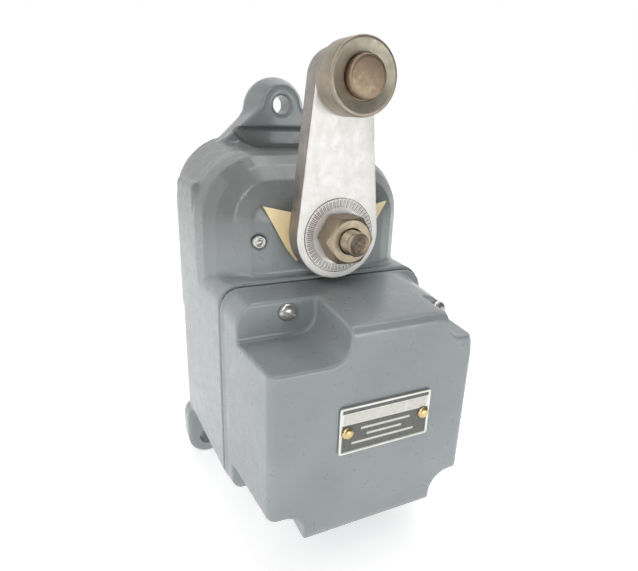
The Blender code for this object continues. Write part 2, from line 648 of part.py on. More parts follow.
def return_spring():
    """A torsion spring: a helix about the shaft with a straight tang at each end."""
    turns, per_turn, start, end = 4, 14, -26.0, -17.0
    points = [(0.0, COLLAR_Y[0], SPRING_RADIUS)]
    for i in range(turns * per_turn + 1):
        angle = math.tau * i / per_turn
        y = between(start, end, i / (turns * per_turn))
        points.append((SPRING_RADIUS * math.sin(angle), y, SPRING_RADIUS * math.cos(angle)))
    points.append((0.0, -10.2, SPRING_RADIUS))
    curve = bpy.data.curves.new("return_spring", "CURVE")
    curve.dimensions = "3D"
    curve.bevel_depth = SPRING_WIRE * MM
    curve.bevel_resolution = 2
    curve.use_fill_caps = True
    spline = curve.splines.new("POLY")
    spline.points.add(len(points) - 1)
    for point, place in zip(spline.points, points):
        point.co = (*((Vector(place) - Vector(LEVER_AXIS)) * MM), 1.0)
    curve.materials.append(material("return_spring", *FINISHES["steel"]))
    spring = bpy.data.objects.new("return_spring", curve)
    parts.objects.link(spring)
    spring.parent = lever_axis


return_spring()

# ---------------------------------------------------------------- contact block and fixed contacts
BLOCK_FRONT_Y = -15.9
FIXED_X = BRIDGE_X + 1.2 + TIP_HEIGHT + TRAVEL + 0.5 + TIP_HEIGHT


def contact_block(bm):
    box(bm, (-39.0, 39.0), (BLOCK_FRONT_Y, CAVITY_BACK_Y - 0.4), (-84.5, -36.0))


block = part("contact_block", "phenolic", contact_block)


def rod_posts(bm):
    for side in (-1, 1):
        for z in ROD_Z:
            x = sorted((side * 34.0, side * 39.0))
            box(bm, x, (ROD_Y - 4.5, BLOCK_FRONT_Y + 1.0), (z - 4.0, z + 4.0))


def rod_bores(bm):
    for z in ROD_Z:
        rod(bm, (-50, ROD_Y, z), (50, ROD_Y, z), ROD_RADIUS + GAP, 16)


combine(block, "posts", rod_posts, "UNION")
combine(block, "rod_bores", rod_bores)


def block_screw_holes(bm):
    for x, z in BLOCK_SCREWS:
        rod(bm, (x, -20, z), (x, -5, z), 2.2, 12)


combine(block, "screw_holes", block_screw_holes)


def terminal_places():
    """(side, x of the terminal, z) of the four fixed contacts."""
    for side in (-1, 1):
        for z in (BRIDGE_Z - TIP_SPREAD, BRIDGE_Z + TIP_SPREAD):
            yield side, side * 31.5, z


def terminal_holes(bm):
    for _, x, z in terminal_places():
        rod(bm, (x, -40, z), (x, -12.0, z), 1.9, 12)


combine(block, "terminal_holes", terminal_holes)


for number, rod_z in enumerate(ROD_Z, 1):
    part(f"guide_rod_{number}", "steel", lambda bm: rod(
        bm, (-38.7, ROD_Y, rod_z), (38.7, ROD_Y, rod_z), ROD_RADIUS, 16))

for number, (screw_x, screw_z) in enumerate(BLOCK_SCREWS, 1):
    part(f"contact_block_screw_{number}", "zinc", lambda bm: dome_head(
        bm, screw_x, screw_z, BLOCK_FRONT_Y - GAP, 3.4, 2.2, 1.7, -5.5, 16))
part("ground_screw", "brass", lambda bm: dome_head(
    bm, *GROUND_SCREW, CAVITY_BACK_Y - GAP, 3.4, 2.4, 1.7, -5.5, 16))

FOOT_Y = (BLOCK_FRONT_Y - GAP - 1.2, BLOCK_FRONT_Y - GAP)


def fixed_contact(bm, side, z):
    """An L-shaped brass strip: a foot on the block and an upright that carries the silver tip."""
    inner, upright, outer = side * FIXED_X, side * (FIXED_X + 1.2), side * 36.5
    outline = [(inner, FOOT_Y[1]), (inner, ROD_Y - 4.0), (upright, ROD_Y - 4.0), (upright, FOOT_Y[0]),
               (outer, FOOT_Y[0]), (outer, FOOT_Y[1])]
    lower = [bm.verts.new((x * MM, y * MM, (z - 3.0) * MM)) for x, y in outline]
    grown = bmesh.ops.extrude_face_region(bm, geom=[bm.faces.new(lower)])
    moved = [v for v in grown["geom"] if isinstance(v, bmesh.types.BMVert)]
    bmesh.ops.translate(bm, verts=moved, vec=(0, 0, 6.0 * MM))
    bmesh.ops.recalc_face_normals(bm, faces=bm.faces)


def tip(bm, face_x, side, z):
    """A contact tip that stands out from a face towards the given side."""
    rod(bm, (face_x + side * GAP, ROD_Y, z), (face_x + side * TIP_HEIGHT, ROD_Y, z), 2.4, 16)


for number, (side, terminal_x, z) in enumerate(terminal_places(), 1):
    strip = part(f"fixed_contact_{number}", "brass", lambda bm: fixed_contact(bm, side, z))
    combine(strip, "hole", lambda bm: rod(bm, (terminal_x, -40, z), (terminal_x, -12, z), 1.9, 12))
    part(f"fixed_tip_{number}", "silver", lambda bm: tip(bm, side * FIXED_X, -side, z))
    part(f"terminal_clamp_{number}", "zinc", lambda bm: turned(bm, [
        (1.9, FOOT_Y[0] - 1.1), (4.3, FOOT_Y[0] - 1.1), (4.3, FOOT_Y[0] - GAP), (1.9, FOOT_Y[0] - GAP)],
        (terminal_x, z), 16, True))
    part(f"terminal_screw_{number}", "brass", lambda bm: dome_head(
        bm, terminal_x, z, FOOT_Y[0] - 1.1 - GAP, 3.0, 2.2, 1.5, -12.4, 16))


# ---------------------------------------------------------------- contact carrier
FORK_Y = (-37.6, -32.6)


def carrier_body(bm):
    box(bm, (-7.5, 7.5), (-33.0, -21.5), (-84.5, -37.5))


carrier = part("contact_carrier", "phenolic", carrier_body, carrier_axis)
combine(carrier, "fork", lambda bm: box(bm, (-7.5, 7.5), FORK_Y, (-47.0, -6.4)), "UNION")
combine(carrier, "slot", lambda bm: box(bm, (-SLOT_HALF, SLOT_HALF), (-50.0, -20.0), (-16.5, 0.0)))
combine(carrier, "guide_bores", rod_bores)


def bridge_stems(bm):
    for side in (-1, 1):
        rod(bm, (side * 6.0, ROD_Y, BRIDGE_Z), (side * (BRIDGE_X + 2.4), ROD_Y, BRIDGE_Z), 1.2, 12)


combine(carrier, "stems", bridge_stems, "UNION")


def contact_spring(bm, side):
    """A bellows-like stand-in for a short pressure spring, open along its stem."""
    coils, start, end = 3, 7.5 + GAP, BRIDGE_X - GAP
    pitch = (end - start) / coils
    profile = []
    for i in range(coils):
        low = start + i * pitch
        profile += [(2.2, low), (2.9, low + pitch * 0.25), (2.9, low + pitch * 0.5), (2.2, low + pitch * 0.75)]
    profile += [(2.2, end), (1.6, end), (1.6, start)]
    turned(bm, profile, sides=12, closed=True)
    turn = Matrix.Rotation(-side * math.pi / 2, 4, "Z")
    bm.transform(Matrix.Translation((0, ROD_Y * MM, BRIDGE_Z * MM)) @ turn)


for number, side in enumerate((-1, 1), 1):
    inner, outer = side * BRIDGE_X, side * (BRIDGE_X + 1.2)
    bridge = part(f"contact_bridge_{number}", "brass", lambda bm: box(
        bm, sorted((inner, outer)), (ROD_Y - 3.0, ROD_Y + 3.0),
        (BRIDGE_Z - TIP_SPREAD - 3.0, BRIDGE_Z + TIP_SPREAD + 3.0)), carrier_axis)
    combine(bridge, "stem_hole", lambda bm: rod(
        bm, (-30, ROD_Y, BRIDGE_Z), (30, ROD_Y, BRIDGE_Z), 1.6, 12))
    part(f"contact_spring_{number}", "steel", lambda bm: contact_spring(bm, side), carrier_axis)

for number, (side, _, z) in enumerate(terminal_places(), 1):
    part(f"moving_tip_{number}", "silver", lambda bm: tip(bm, side * (BRIDGE_X + 1.2), side, z), carrier_axis)
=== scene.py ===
"""A lever-operated limit switch as it looks: a cast housing and cover under blue-grey enamel, a zinc-plated
lever with a steel roller, a worn nut and a small aluminium nameplate.

The CAD frame is loaded first. Its visible pieces are then replaced by finer ones of the same size, and every
piece gets a procedural finish. Lengths are in millimetres in the constants and in metres in the meshes.
"""

import math

import bmesh
import bpy
from mathutils import Matrix, Vector
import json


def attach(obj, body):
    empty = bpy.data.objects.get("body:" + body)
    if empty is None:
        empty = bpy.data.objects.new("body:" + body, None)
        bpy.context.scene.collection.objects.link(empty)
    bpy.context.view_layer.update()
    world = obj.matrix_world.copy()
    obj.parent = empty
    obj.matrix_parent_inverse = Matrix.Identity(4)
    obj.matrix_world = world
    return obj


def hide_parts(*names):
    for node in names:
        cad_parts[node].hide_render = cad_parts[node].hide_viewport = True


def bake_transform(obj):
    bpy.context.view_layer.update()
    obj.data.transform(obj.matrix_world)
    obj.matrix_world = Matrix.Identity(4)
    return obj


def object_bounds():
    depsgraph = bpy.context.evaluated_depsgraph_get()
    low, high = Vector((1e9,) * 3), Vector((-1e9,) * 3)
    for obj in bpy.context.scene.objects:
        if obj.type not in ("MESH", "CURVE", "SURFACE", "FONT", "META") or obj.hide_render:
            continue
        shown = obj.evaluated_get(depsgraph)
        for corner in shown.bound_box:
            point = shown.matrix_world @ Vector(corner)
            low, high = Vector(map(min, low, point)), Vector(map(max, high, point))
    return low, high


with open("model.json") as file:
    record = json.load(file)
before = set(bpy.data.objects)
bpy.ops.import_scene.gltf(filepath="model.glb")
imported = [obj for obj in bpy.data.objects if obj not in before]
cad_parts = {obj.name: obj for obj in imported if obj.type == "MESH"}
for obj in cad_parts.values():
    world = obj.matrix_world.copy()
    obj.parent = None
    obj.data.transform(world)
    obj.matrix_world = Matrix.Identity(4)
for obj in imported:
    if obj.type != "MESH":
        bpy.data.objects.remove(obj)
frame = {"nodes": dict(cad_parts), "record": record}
cad_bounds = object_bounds()

MM = 0.001
HUB_Y = -72.0  # front face of the lever
LEVER_THICKNESS = 9.5
LEVER_LENGTH = 56.0
HUB_RADIUS = 17.2
TIP_RADIUS = 11.2
HEAD_FACE_Y = -59.5
COVER_FACE_Y = -109.0
PLATE_CENTRE = (2.9, -60.4)
PLATE_HALF = (18.9, 9.5)
STUD_RADIUS = 4.6
PIN_HOLE = 4.4  # the roller pin's hole in the lever
LEVER_BORE = 6.7
LEVER_RECESS = 0.8  # depth of the washer's seat
NUT_FLATS = 17.0
NUT_HEIGHT = 9.2
SHAFT_END = -88.0
ROLLER_RADIUS = 12.7
ROLLER_WIDTH = 12.0


# ---------------------------------------------------------------- finishes
class Finish:
    """A procedural material: a Principled shader with helpers for its noise, mixes and bumps."""

    def __init__(self, name, metallic=0.0):
        self.material = bpy.data.materials.new(name)
        self.material.use_nodes = True
        self.nodes = self.material.node_tree.nodes
        self.links = self.material.node_tree.links
        self.shader = self.nodes["Principled BSDF"]
        self.shader.inputs["Metallic"].default_value = metallic
        self.place = self.nodes.new("ShaderNodeTexCoord").outputs["Object"]
        self.relief = None

    def put(self, target, value):
        if isinstance(value, bpy.types.NodeSocket):
            self.links.new(value, target)
        else:
            target.default_value = value

    def stretched(self, scale):
        """Object coordinates scaled by a different factor along each axis."""
        node = self.nodes.new("ShaderNodeVectorMath")
        node.operation = "MULTIPLY"
        node.inputs[1].default_value = scale
        self.links.new(self.place, node.inputs[0])
        return node.outputs["Vector"]

    def noise(self, per_metre, detail=3.0, roughness=0.5, place=None):
        node = self.nodes.new("ShaderNodeTexNoise")
        node.inputs["Scale"].default_value = per_metre
        node.inputs["Detail"].default_value = detail
        node.inputs["Roughness"].default_value = roughness
        self.links.new(place or self.place, node.inputs["Vector"])
        return node.outputs["Fac"]

    def height(self):
        """The Z coordinate in metres."""
        node = self.nodes.new("ShaderNodeSeparateXYZ")
        self.links.new(self.place, node.inputs["Vector"])
        return node.outputs["Z"]

    def times(self, first, second):
        node = self.nodes.new("ShaderNodeMath")
        node.operation = "MULTIPLY"
        self.links.new(first, node.inputs[0])
        self.links.new(second, node.inputs[1])
        return node.outputs["Value"]

    def span(self, value, low, high, to_low=0.0, to_high=1.0):
        node = self.nodes.new("ShaderNodeMapRange")
        self.links.new(value, node.inputs["Value"])
        limits = {"From Min": low, "From Max": high, "To Min": to_low, "To Max": to_high}
        for key, limit in limits.items():
            node.inputs[key].default_value = limit
        return node.outputs["Result"]

    def mix(self, share, first, second):
        node = self.nodes.new("ShaderNodeMix")
        node.data_type = "RGBA"
        self.put(node.inputs["Factor"], share)
        for key, value in (("A", first), ("B", second)):
            socket = next(s for s in node.inputs if s.name == key and s.type == "RGBA")
            self.put(socket, value if isinstance(value, bpy.types.NodeSocket) else (*value, 1.0))
        return next(s for s in node.outputs if s.type == "RGBA")

    def bump(self, height, distance, strength=1.0):
        """Adds a bump of the given height in millimetres on top of the earlier ones."""
        node = self.nodes.new("ShaderNodeBump")
        node.inputs["Strength"].default_value = strength
        node.inputs["Distance"].default_value = distance * MM
        self.links.new(height, node.inputs["Height"])
        if self.relief:
            self.links.new(self.relief, node.inputs["Normal"])
        self.relief = node.outputs["Normal"]
        self.links.new(self.relief, self.shader.inputs["Normal"])

    def colour(self, value):
        self.put(self.shader.inputs["Base Color"], value)

    def roughness(self, value):
        self.put(self.shader.inputs["Roughness"], value)


def enamel(name, light, dark, gloss, peel):
    """Brushed-on enamel over sand-cast iron: orange peel, soft cast waves and painted shade that darkens the
    upper part.
    """
    made = Finish(name)
    tone = made.mix(made.span(made.noise(38.0, 4.0), 0.32, 0.68), dark, light)
    dust = made.span(made.noise(420.0, 5.0, 0.65), 0.62, 0.78, 0.0, 0.30)
    tone = made.mix(dust, tone, tuple(0.62 * c for c in dark))
    above = made.height()
    # Painted shade: above z -16 mm the enamel is mixed towards a dark, warm tone, up to 0.6 from z 6 mm, easing
    # to 0.24 over the ears above z 44 mm.
    painted_upper_shade = made.times(made.span(above, -0.016, 0.006, 0.0, 0.60), made.span(above, 0.028, 0.044, 1.0, 0.40))
    tone = made.mix(painted_upper_shade, tone, tuple(c * g for c, g in zip(dark, (0.40, 0.37, 0.33))))
    made.colour(tone)
    made.roughness(made.span(made.noise(260.0, 4.0), 0.3, 0.7, gloss, gloss + 0.16))
    made.bump(made.noise(55.0, 2.0), 0.55)
    made.bump(made.noise(620.0, 2.0), peel)
    made.bump(made.noise(1500.0, 2.0), peel * 0.35)
    made.shader.inputs["Coat Weight"].default_value = 0.35
    made.shader.inputs["Coat Roughness"].default_value = 0.16
    return made.material


def plated(name, light, dark, roughness, spots=None, wear=0.5, grain=0.02, metallic=1.0):
    """Plated or machined metal: mottled tone, fine scratches, stains and small dark specks."""
    made = Finish(name, metallic)
    mottle = made.span(made.noise(150.0, 5.0, 0.6), 0.3, 0.7)
    tone = made.mix(mottle, light, dark)
    if spots:
        tone = made.mix(made.span(made.noise(340.0, 6.0, 0.7), 0.60, 0.74, 0.0, wear), tone, spots)
    made.colour(tone)
    made.roughness(made.span(made.noise(520.0, 4.0), 0.3, 0.7, roughness - 0.07, roughness + 0.10))
    made.bump(made.noise(900.0, 3.0), grain)
    made.bump(made.noise(110.0, 2.0), grain * 2.5)
    return made.material


def turned_metal(name, light, dark, roughness, rings=1.0, spots=None, wear=0.5):
    """Machined metal with fine turning marks across the Y axis."""
    made = Finish(name, 1.0)
    lines = made.noise(1.0, 3.0, 0.6, made.stretched((60.0, 4200.0, 60.0)))
    tone = made.mix(made.span(made.noise(170.0, 5.0), 0.3, 0.7), light, dark)
    tone = made.mix(made.span(lines, 0.35, 0.65, 0.0, 0.25), tone, tuple(0.6 * c for c in dark))
    if spots:
        tone = made.mix(made.span(made.noise(300.0, 6.0, 0.7), 0.58, 0.74, 0.0, wear), tone, spots)
    made.colour(tone)
    made.roughness(made.span(made.noise(480.0, 4.0), 0.3, 0.7, roughness - 0.06, roughness + 0.12))
    made.bump(lines, 0.012 * rings)
    made.bump(made.noise(700.0, 3.0), 0.02)
    return made.material


def moulded(name, light, dark, roughness, scale, relief):
    """Plain rubber, fibre or moulding: two near tones with a fine grain."""
    made = Finish(name)
    made.colour(made.mix(made.span(made.noise(scale, 5.0, 0.6), 0.3, 0.7), light, dark))
    made.roughness(made.span(made.noise(scale * 3.0, 3.0), 0.3, 0.7, roughness - 0.05, roughness + 0.08))
    made.bump(made.noise(scale * 4.0, 4.0), relief)
    return made.material


FINISHES = {
    "cast_enamel": enamel("cast_enamel", (0.262, 0.288, 0.295), (0.222, 0.246, 0.252), 0.26, 0.060),
    "black_rubber": moulded("black_rubber", (0.030, 0.030, 0.030), (0.018, 0.018, 0.018), 0.75, 300.0, 0.03),
    "zinc_plate": plated("zinc_plate", (0.66, 0.65, 0.62), (0.50, 0.48, 0.44), 0.34, (0.30, 0.16, 0.07),
                         0.55),
    "lever_zinc": plated("lever_zinc", (0.80, 0.78, 0.76), (0.72, 0.69, 0.66), 0.52, (0.52, 0.49, 0.45), 0.5,
                         0.05, 0.35),
    # painted shade: a darker copy of the lever's zinc for its side faces and the washer's tooth flanks; its
    # dark spots are wear
    "zinc_sides_painted_shade": plated("zinc_sides_painted_shade", (0.40, 0.37, 0.34), (0.28, 0.26, 0.24), 0.52, (0.22, 0.19, 0.16), 0.7,
                         0.10),
    "plate_aluminium": plated("plate_aluminium", (0.78, 0.78, 0.74), (0.66, 0.66, 0.62), 0.36,
                              (0.45, 0.44, 0.40), 0.4, 0.02),
    "brass": plated("brass", (0.72, 0.56, 0.28), (0.55, 0.42, 0.20), 0.32, (0.30, 0.20, 0.08), 0.4),
    "fibre": moulded("fibre", (0.36, 0.26, 0.17), (0.28, 0.19, 0.12), 0.80, 240.0, 0.04),
    "shaft_steel": turned_metal("shaft_steel", (0.60, 0.56, 0.50), (0.44, 0.40, 0.35), 0.34, 1.0,
                                (0.26, 0.19, 0.12), 0.5),
    "nut_steel": plated("nut_steel", (0.40, 0.33, 0.245), (0.30, 0.245, 0.175), 0.42, (0.16, 0.12, 0.08),
                        0.45, 0.03),
    "spring_steel": plated("spring_steel", (0.36, 0.36, 0.37), (0.24, 0.24, 0.25), 0.38, (0.12, 0.10, 0.09),
                           0.4),
    "bronze": turned_metal("bronze", (0.55, 0.38, 0.24), (0.42, 0.29, 0.18), 0.40),
    "pin_bronze": plated("pin_bronze", (0.33, 0.245, 0.175), (0.26, 0.19, 0.13), 0.48, (0.17, 0.12, 0.08),
                         0.4, 0.03),
    "roller_steel": turned_metal("roller_steel", (0.41, 0.36, 0.29), (0.33, 0.29, 0.23), 0.48, 0.6,
                                 (0.20, 0.16, 0.12), 0.5),
    "yellow_enamel": moulded("yellow_enamel", (0.84, 0.70, 0.42), (0.74, 0.60, 0.34), 0.46, 130.0, 0.03),
    "phenolic": moulded("phenolic", (0.060, 0.042, 0.036), (0.036, 0.026, 0.022), 0.42, 260.0, 0.02),
    "silver": plated("silver", (0.88, 0.87, 0.85), (0.76, 0.75, 0.72), 0.26, (0.40, 0.36, 0.30), 0.3),
    "plate_ink": moulded("plate_ink", (0.085, 0.088, 0.080), (0.140, 0.140, 0.128), 0.48, 900.0, 0.02),
    "plate_field": moulded("plate_field", (0.66, 0.65, 0.60), (0.54, 0.53, 0.48), 0.50, 500.0, 0.02),
    # painted shade: a near-black, mottled lining for the socket in the shaft's end
    "socket_painted_shade": moulded("socket_painted_shade", (0.42, 0.34, 0.25), (0.05, 0.04, 0.03), 0.75, 800.0, 0.30),
}


# ---------------------------------------------------------------- mesh helpers
def piece(name, body, slot, mesh, replaced=(), sharp=40.0, finishes=None):
    """A finished piece that rides on a CAD body and stands for the CAD nodes it replaces."""
    for finish in finishes or [slot]:
        mesh.materials.append(FINISHES[finish])
    mesh.shade_smooth()
    mesh.set_sharp_from_angle(angle=math.radians(sharp))
    made = bpy.data.objects.new(name, mesh)
    bpy.context.scene.collection.objects.link(made)
    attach(made, body)
    if replaced:
        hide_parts(*replaced)
    return made


def filled(name, fill):
    """A mesh made by a function that fills a bmesh."""
    bm = bmesh.new()
    fill(bm)
    bmesh.ops.recalc_face_normals(bm, faces=bm.faces)
    mesh = bpy.data.meshes.new(name)
    bm.to_mesh(mesh)
    bm.free()
    return mesh


def arc(centre, radius, start, end, steps):
    """Points on a circle between two angles in degrees."""
    angles = [math.radians(start + (end - start) * i / steps) for i in range(steps + 1)]
    return [(centre[0] + radius * math.cos(a), centre[1] + radius * math.sin(a)) for a in angles]


def rounded(half, bottom, top, radius, steps=6, middle=0.0):
    """A rectangle with rounded corners."""
    left, right = middle - half, middle + half
    corners = ((right, bottom, -90), (right, top, 0), (left, top, 90), (left, bottom, 180))
    points = []
    for x, z, start in corners:
        inward = (x - math.copysign(radius, x - middle), z - math.copysign(radius, z - (bottom + top) / 2))
        points += arc(inward, radius, start, start + 90, steps)
    return points


def link_outline(low, low_radius, high, high_radius, steps=32):
    """Two circles joined by their outer tangents."""
    run = Vector(high) - Vector(low)
    turn = math.degrees(math.atan2(run.y, run.x))
    lean = math.degrees(math.acos((low_radius - high_radius) / run.length))
    return arc(high, high_radius, turn - lean, turn + lean, steps) + arc(
        low, low_radius, turn + lean, turn + 360 - lean, steps * 2
    )


def loft(bm, sections):
    """A closed solid through outlines with the same number of points, each given as (y, outline)."""
    rings = [[bm.verts.new((x * MM, y * MM, z * MM)) for x, z in outline] for y, outline in sections]
    for near, far in zip(rings, rings[1:]):
        for i in range(len(near)):
            j = (i + 1) % len(near)
            bm.faces.new((near[i], near[j], far[j], far[i]))
    bm.faces.new(rings[0])
    bm.faces.new(rings[-1])


def turned(bm, profile, centre=(0.0, 0.0), sides=96, closed=False):
    """A turned shape about an axis along Y: profile is a list of (radius, y)."""
    start = len(bm.verts)
    points = [bm.verts.new(((centre[0] + r) * MM, y * MM, centre[1] * MM)) for r, y in profile]
    edges = [bm.edges.new(pair) for pair in zip(points, points[1:])]
    if closed:
        edges.append(bm.edges.new((points[-1], points[0])))
    bmesh.ops.spin(bm, geom=points + edges, cent=(centre[0] * MM, 0, centre[1] * MM), axis=(0, 1, 0),
                   angle=math.tau, steps=sides, use_merge=True, use_duplicate=False)
    bm.verts.ensure_lookup_table()
    bmesh.ops.remove_doubles(bm, verts=bm.verts[start:], dist=0.000005)


def rounding(radius, y, size, steps=4):
    """The points of a quarter round between a front face at y and a side at the radius."""
    angles = [math.pi / 2 * i / steps for i in range(steps + 1)]
    return [(radius - size + size * math.sin(a), y + size - size * math.cos(a)) for a in angles]


def bore(bm, radius, back, centre=(0.0, 0.0)):
    """A round cutter from in front of the lever back to the given y."""
    front = HUB_Y - 5
    turned(bm, [(0, front), (radius, front), (radius, back), (0, back)], centre)


def carved(name, fill, tools):
    """A mesh with exact Booleans applied: tools is a list of (operation, fill function)."""
    base = bpy.data.objects.new(name, filled(name, fill))
    bpy.context.scene.collection.objects.link(base)
    helpers = []
    for operation, make in tools:
        tool = bpy.data.objects.new(name + "_tool", filled(name + "_tool", make))
        bpy.context.scene.collection.objects.link(tool)
        step = base.modifiers.new(operation, "BOOLEAN")
        step.operation, step.solver, step.object = operation, "EXACT", tool
        helpers.append(tool)
    graph = bpy.context.evaluated_depsgraph_get()
    mesh = bpy.data.meshes.new_from_object(base.evaluated_get(graph))
    for used in [base, *helpers]:
        bpy.data.objects.remove(used, do_unlink=True)
    mesh.materials.clear()
    return mesh


# ---------------------------------------------------------------- castings
def casting(node, voxel, rounds):
    """A node's own shape with its edges and inner corners softened as on a sand casting."""
    source = frame["nodes"][node]
    work = bpy.data.objects.new(node + "_cast", source.data.copy())
    bpy.context.scene.collection.objects.link(work)
    remesh = work.modifiers.new("remesh", "REMESH")
    remesh.mode = "VOXEL"
    remesh.voxel_size = voxel * MM
    smooth = work.modifiers.new("smooth", "SMOOTH")
    smooth.factor = 0.5
    smooth.iterations = rounds
    graph = bpy.context.evaluated_depsgraph_get()
    mesh = bpy.data.meshes.new_from_object(work.evaluated_get(graph))
    bpy.data.objects.remove(work, do_unlink=True)
    mesh.materials.clear()
    return mesh


VOXEL = 0.7
piece("housing_casting", "housing_body", "cast_enamel", casting("housing", VOXEL, 4), ["housing"], 180.0)
piece("cover_casting", "housing_body", "cast_enamel", casting("cover", VOXEL, 4), ["cover"], 180.0)


# ---------------------------------------------------------------- lever
def lever_blank(bm):
    back = HUB_Y + LEVER_THICKNESS
    sections = [(y, link_outline((0, 0), HUB_RADIUS + inset, (0, LEVER_LENGTH), TIP_RADIUS + inset))
                for inset, y in rounding(0.0, HUB_Y, 0.9)]
    mirrored = [(HUB_Y + back - y, outline) for y, outline in reversed(sections)]
    loft(bm, sections + mirrored)


def washer_seat(bm):
    floor_y = HUB_Y + LEVER_RECESS
    turned(bm, [(0, HUB_Y - 5), (14.9, HUB_Y - 5), (14.5, floor_y), (0, floor_y)])


BEHIND_LEVER = -55.0
lever_mesh = carved("lever", lever_blank, [
    ("DIFFERENCE", washer_seat),
    ("DIFFERENCE", lambda bm: bore(bm, LEVER_BORE, BEHIND_LEVER)),
    ("DIFFERENCE", lambda bm: bore(bm, PIN_HOLE, BEHIND_LEVER, (0, LEVER_LENGTH)))])
piece("lever_plate", "lever_body", "lever_zinc", lever_mesh, ["lever_arm"], 40.0,
      ["lever_zinc", "zinc_sides_painted_shade"])
# painted shade: faces turned sideways (normal y below 0.5) take the darker zinc
for face in lever_mesh.polygons:
    face.material_index = int(abs(face.normal.y) < 0.5)

WASHER_BACK = HUB_Y + 0.5
WASHER_FRONT = WASHER_BACK - 1.2


def lock_washer(bm):
    """A thin washer whose rim is pressed into fine radial serrations."""
    teeth, per_tooth = 54, 4
    count = teeth * per_tooth
    lift = (0.0, 0.30, 0.42, 0.12)
    rings = []
    for radius, front, share in ((4.9, True, 0), (10.6, True, 0), (11.0, True, 0.5), (13.7, True, 1),
                                 (14.2, True, 0.3), (14.2, False, 0), (4.9, False, 0)):
        ring = []
        for i in range(count):
            angle = math.tau * i / count
            y = WASHER_FRONT + 0.45 - share * lift[i % per_tooth] if front else WASHER_BACK
            ring.append(bm.verts.new((radius * math.cos(angle) * MM, y * MM, radius * math.sin(angle) * MM)))
        rings.append(ring)
    for near, far in zip(rings, rings[1:] + rings[:1]):
        for i in range(count):
            j = (i + 1) % count
            bm.faces.new((near[i], near[j], far[j], far[i]))


washer_mesh = filled("washer", lock_washer)
piece("serrated_washer", "lever_body", "zinc_plate", washer_mesh, ["lever_lock_washer"], 30.0,
      ["lever_zinc", "zinc_sides_painted_shade"])
# painted shade: the steep flanks of the serrations take the darker zinc
for face in washer_mesh.polygons:
    radius = math.hypot(face.center.x, face.center.z)
    steep = face.normal.y > -0.93 and face.center.y < (WASHER_BACK - 0.3) * MM
    face.material_index = int(steep and 11.0 * MM < radius < 13.8 * MM)

NUT_BACK = WASHER_FRONT - 0.3
NUT_FRONT = NUT_BACK - NUT_HEIGHT
NUT_CORNER = NUT_FLATS / 2 / math.cos(math.radians(30))


def nut_blank(bm):
    hexagon = arc((0, 0), NUT_CORNER, 0, 300, 5)
    loft(bm, [(y, hexagon) for y in (NUT_FRONT, NUT_BACK)])


def nut_cone(bm):
    """The turned body that chamfers the corners of the hexagon."""
    turned(bm, [(0, NUT_BACK + 1), (NUT_CORNER - 0.9, NUT_BACK + 1), (NUT_CORNER - 0.9, NUT_BACK),
                (NUT_CORNER + 1, NUT_BACK - 1.1), (NUT_CORNER + 1, NUT_FRONT + 1.9), (7.9, NUT_FRONT),
                (0, NUT_FRONT)])


def nut_bore(bm):
    turned(bm, [(0, NUT_FRONT - 1), (5.6, NUT_FRONT - 1), (4.9, NUT_FRONT + 0.5), (4.9, NUT_BACK + 1),
                (0, NUT_BACK + 1)])


nut_mesh = carved("nut", nut_blank, [("INTERSECT", nut_cone), ("DIFFERENCE", nut_bore)])
nut = piece("hex_nut", "lever_body", "nut_steel", nut_mesh, ["lever_nut"], 25.0)
soften = nut.modifiers.new("soften", "BEVEL")
soften.width, soften.segments, soften.angle_limit = 0.35 * MM, 3, math.radians(25)


def stud(bm):
    """The shaft from the thread's worn end to its inner end, with a broached socket."""
    pitch = 0.64
    socket = [(0, 3.2), (1.6, 2.9), (2.5, 1.5), (2.95, 0.5), (3.35, 0.1), (3.6, 0.0), (4.1, 0.25), (4.5, 0.8)]
    thread = []
    y = SHAFT_END + 1.1
    while y < NUT_FRONT + 1.5:
        thread += [(STUD_RADIUS - 0.05, y), (STUD_RADIUS - 0.3, y + pitch / 2)]
        y += pitch
    turned(bm, [(radius, SHAFT_END + depth) for radius, depth in socket] + thread + [
        (STUD_RADIUS, NUT_FRONT + 2.0), (STUD_RADIUS, WASHER_BACK), (6.4, WASHER_BACK), (6.4, -62.2),
        (7.0, -62.2), (7.0, -41.0), (5.5, -41.0), (5.5, -30.2), (7.0, -30.2), (7.0, -19.0), (6.0, -19.0),
        (6.0, -9.0), (0, -9.0)])


shaft_mesh = filled("shaft", stud)
piece("shaft_with_stud", "lever_body", "shaft_steel", shaft_mesh, ["operating_shaft"], 35.0,
      ["nut_steel", "socket_painted_shade"])
# painted shade: the socket's faces within 2.8 mm of the axis near the end take the near-black lining
for face in shaft_mesh.polygons:
    inside = math.hypot(face.center.x, face.center.z) < 2.8 * MM
    face.material_index = int(inside and face.center.y < (SHAFT_END + 4.0) * MM)

# ---------------------------------------------------------------- return spring
SPRING_RADIUS, WIRE_RADIUS = 11.4, 1.0
COIL_TURNS, POINTS_PER_TURN = 4, 36
COIL_ENDS = (-26.0, -17.0)
TANG_ENDS = (-29.6, -10.2)


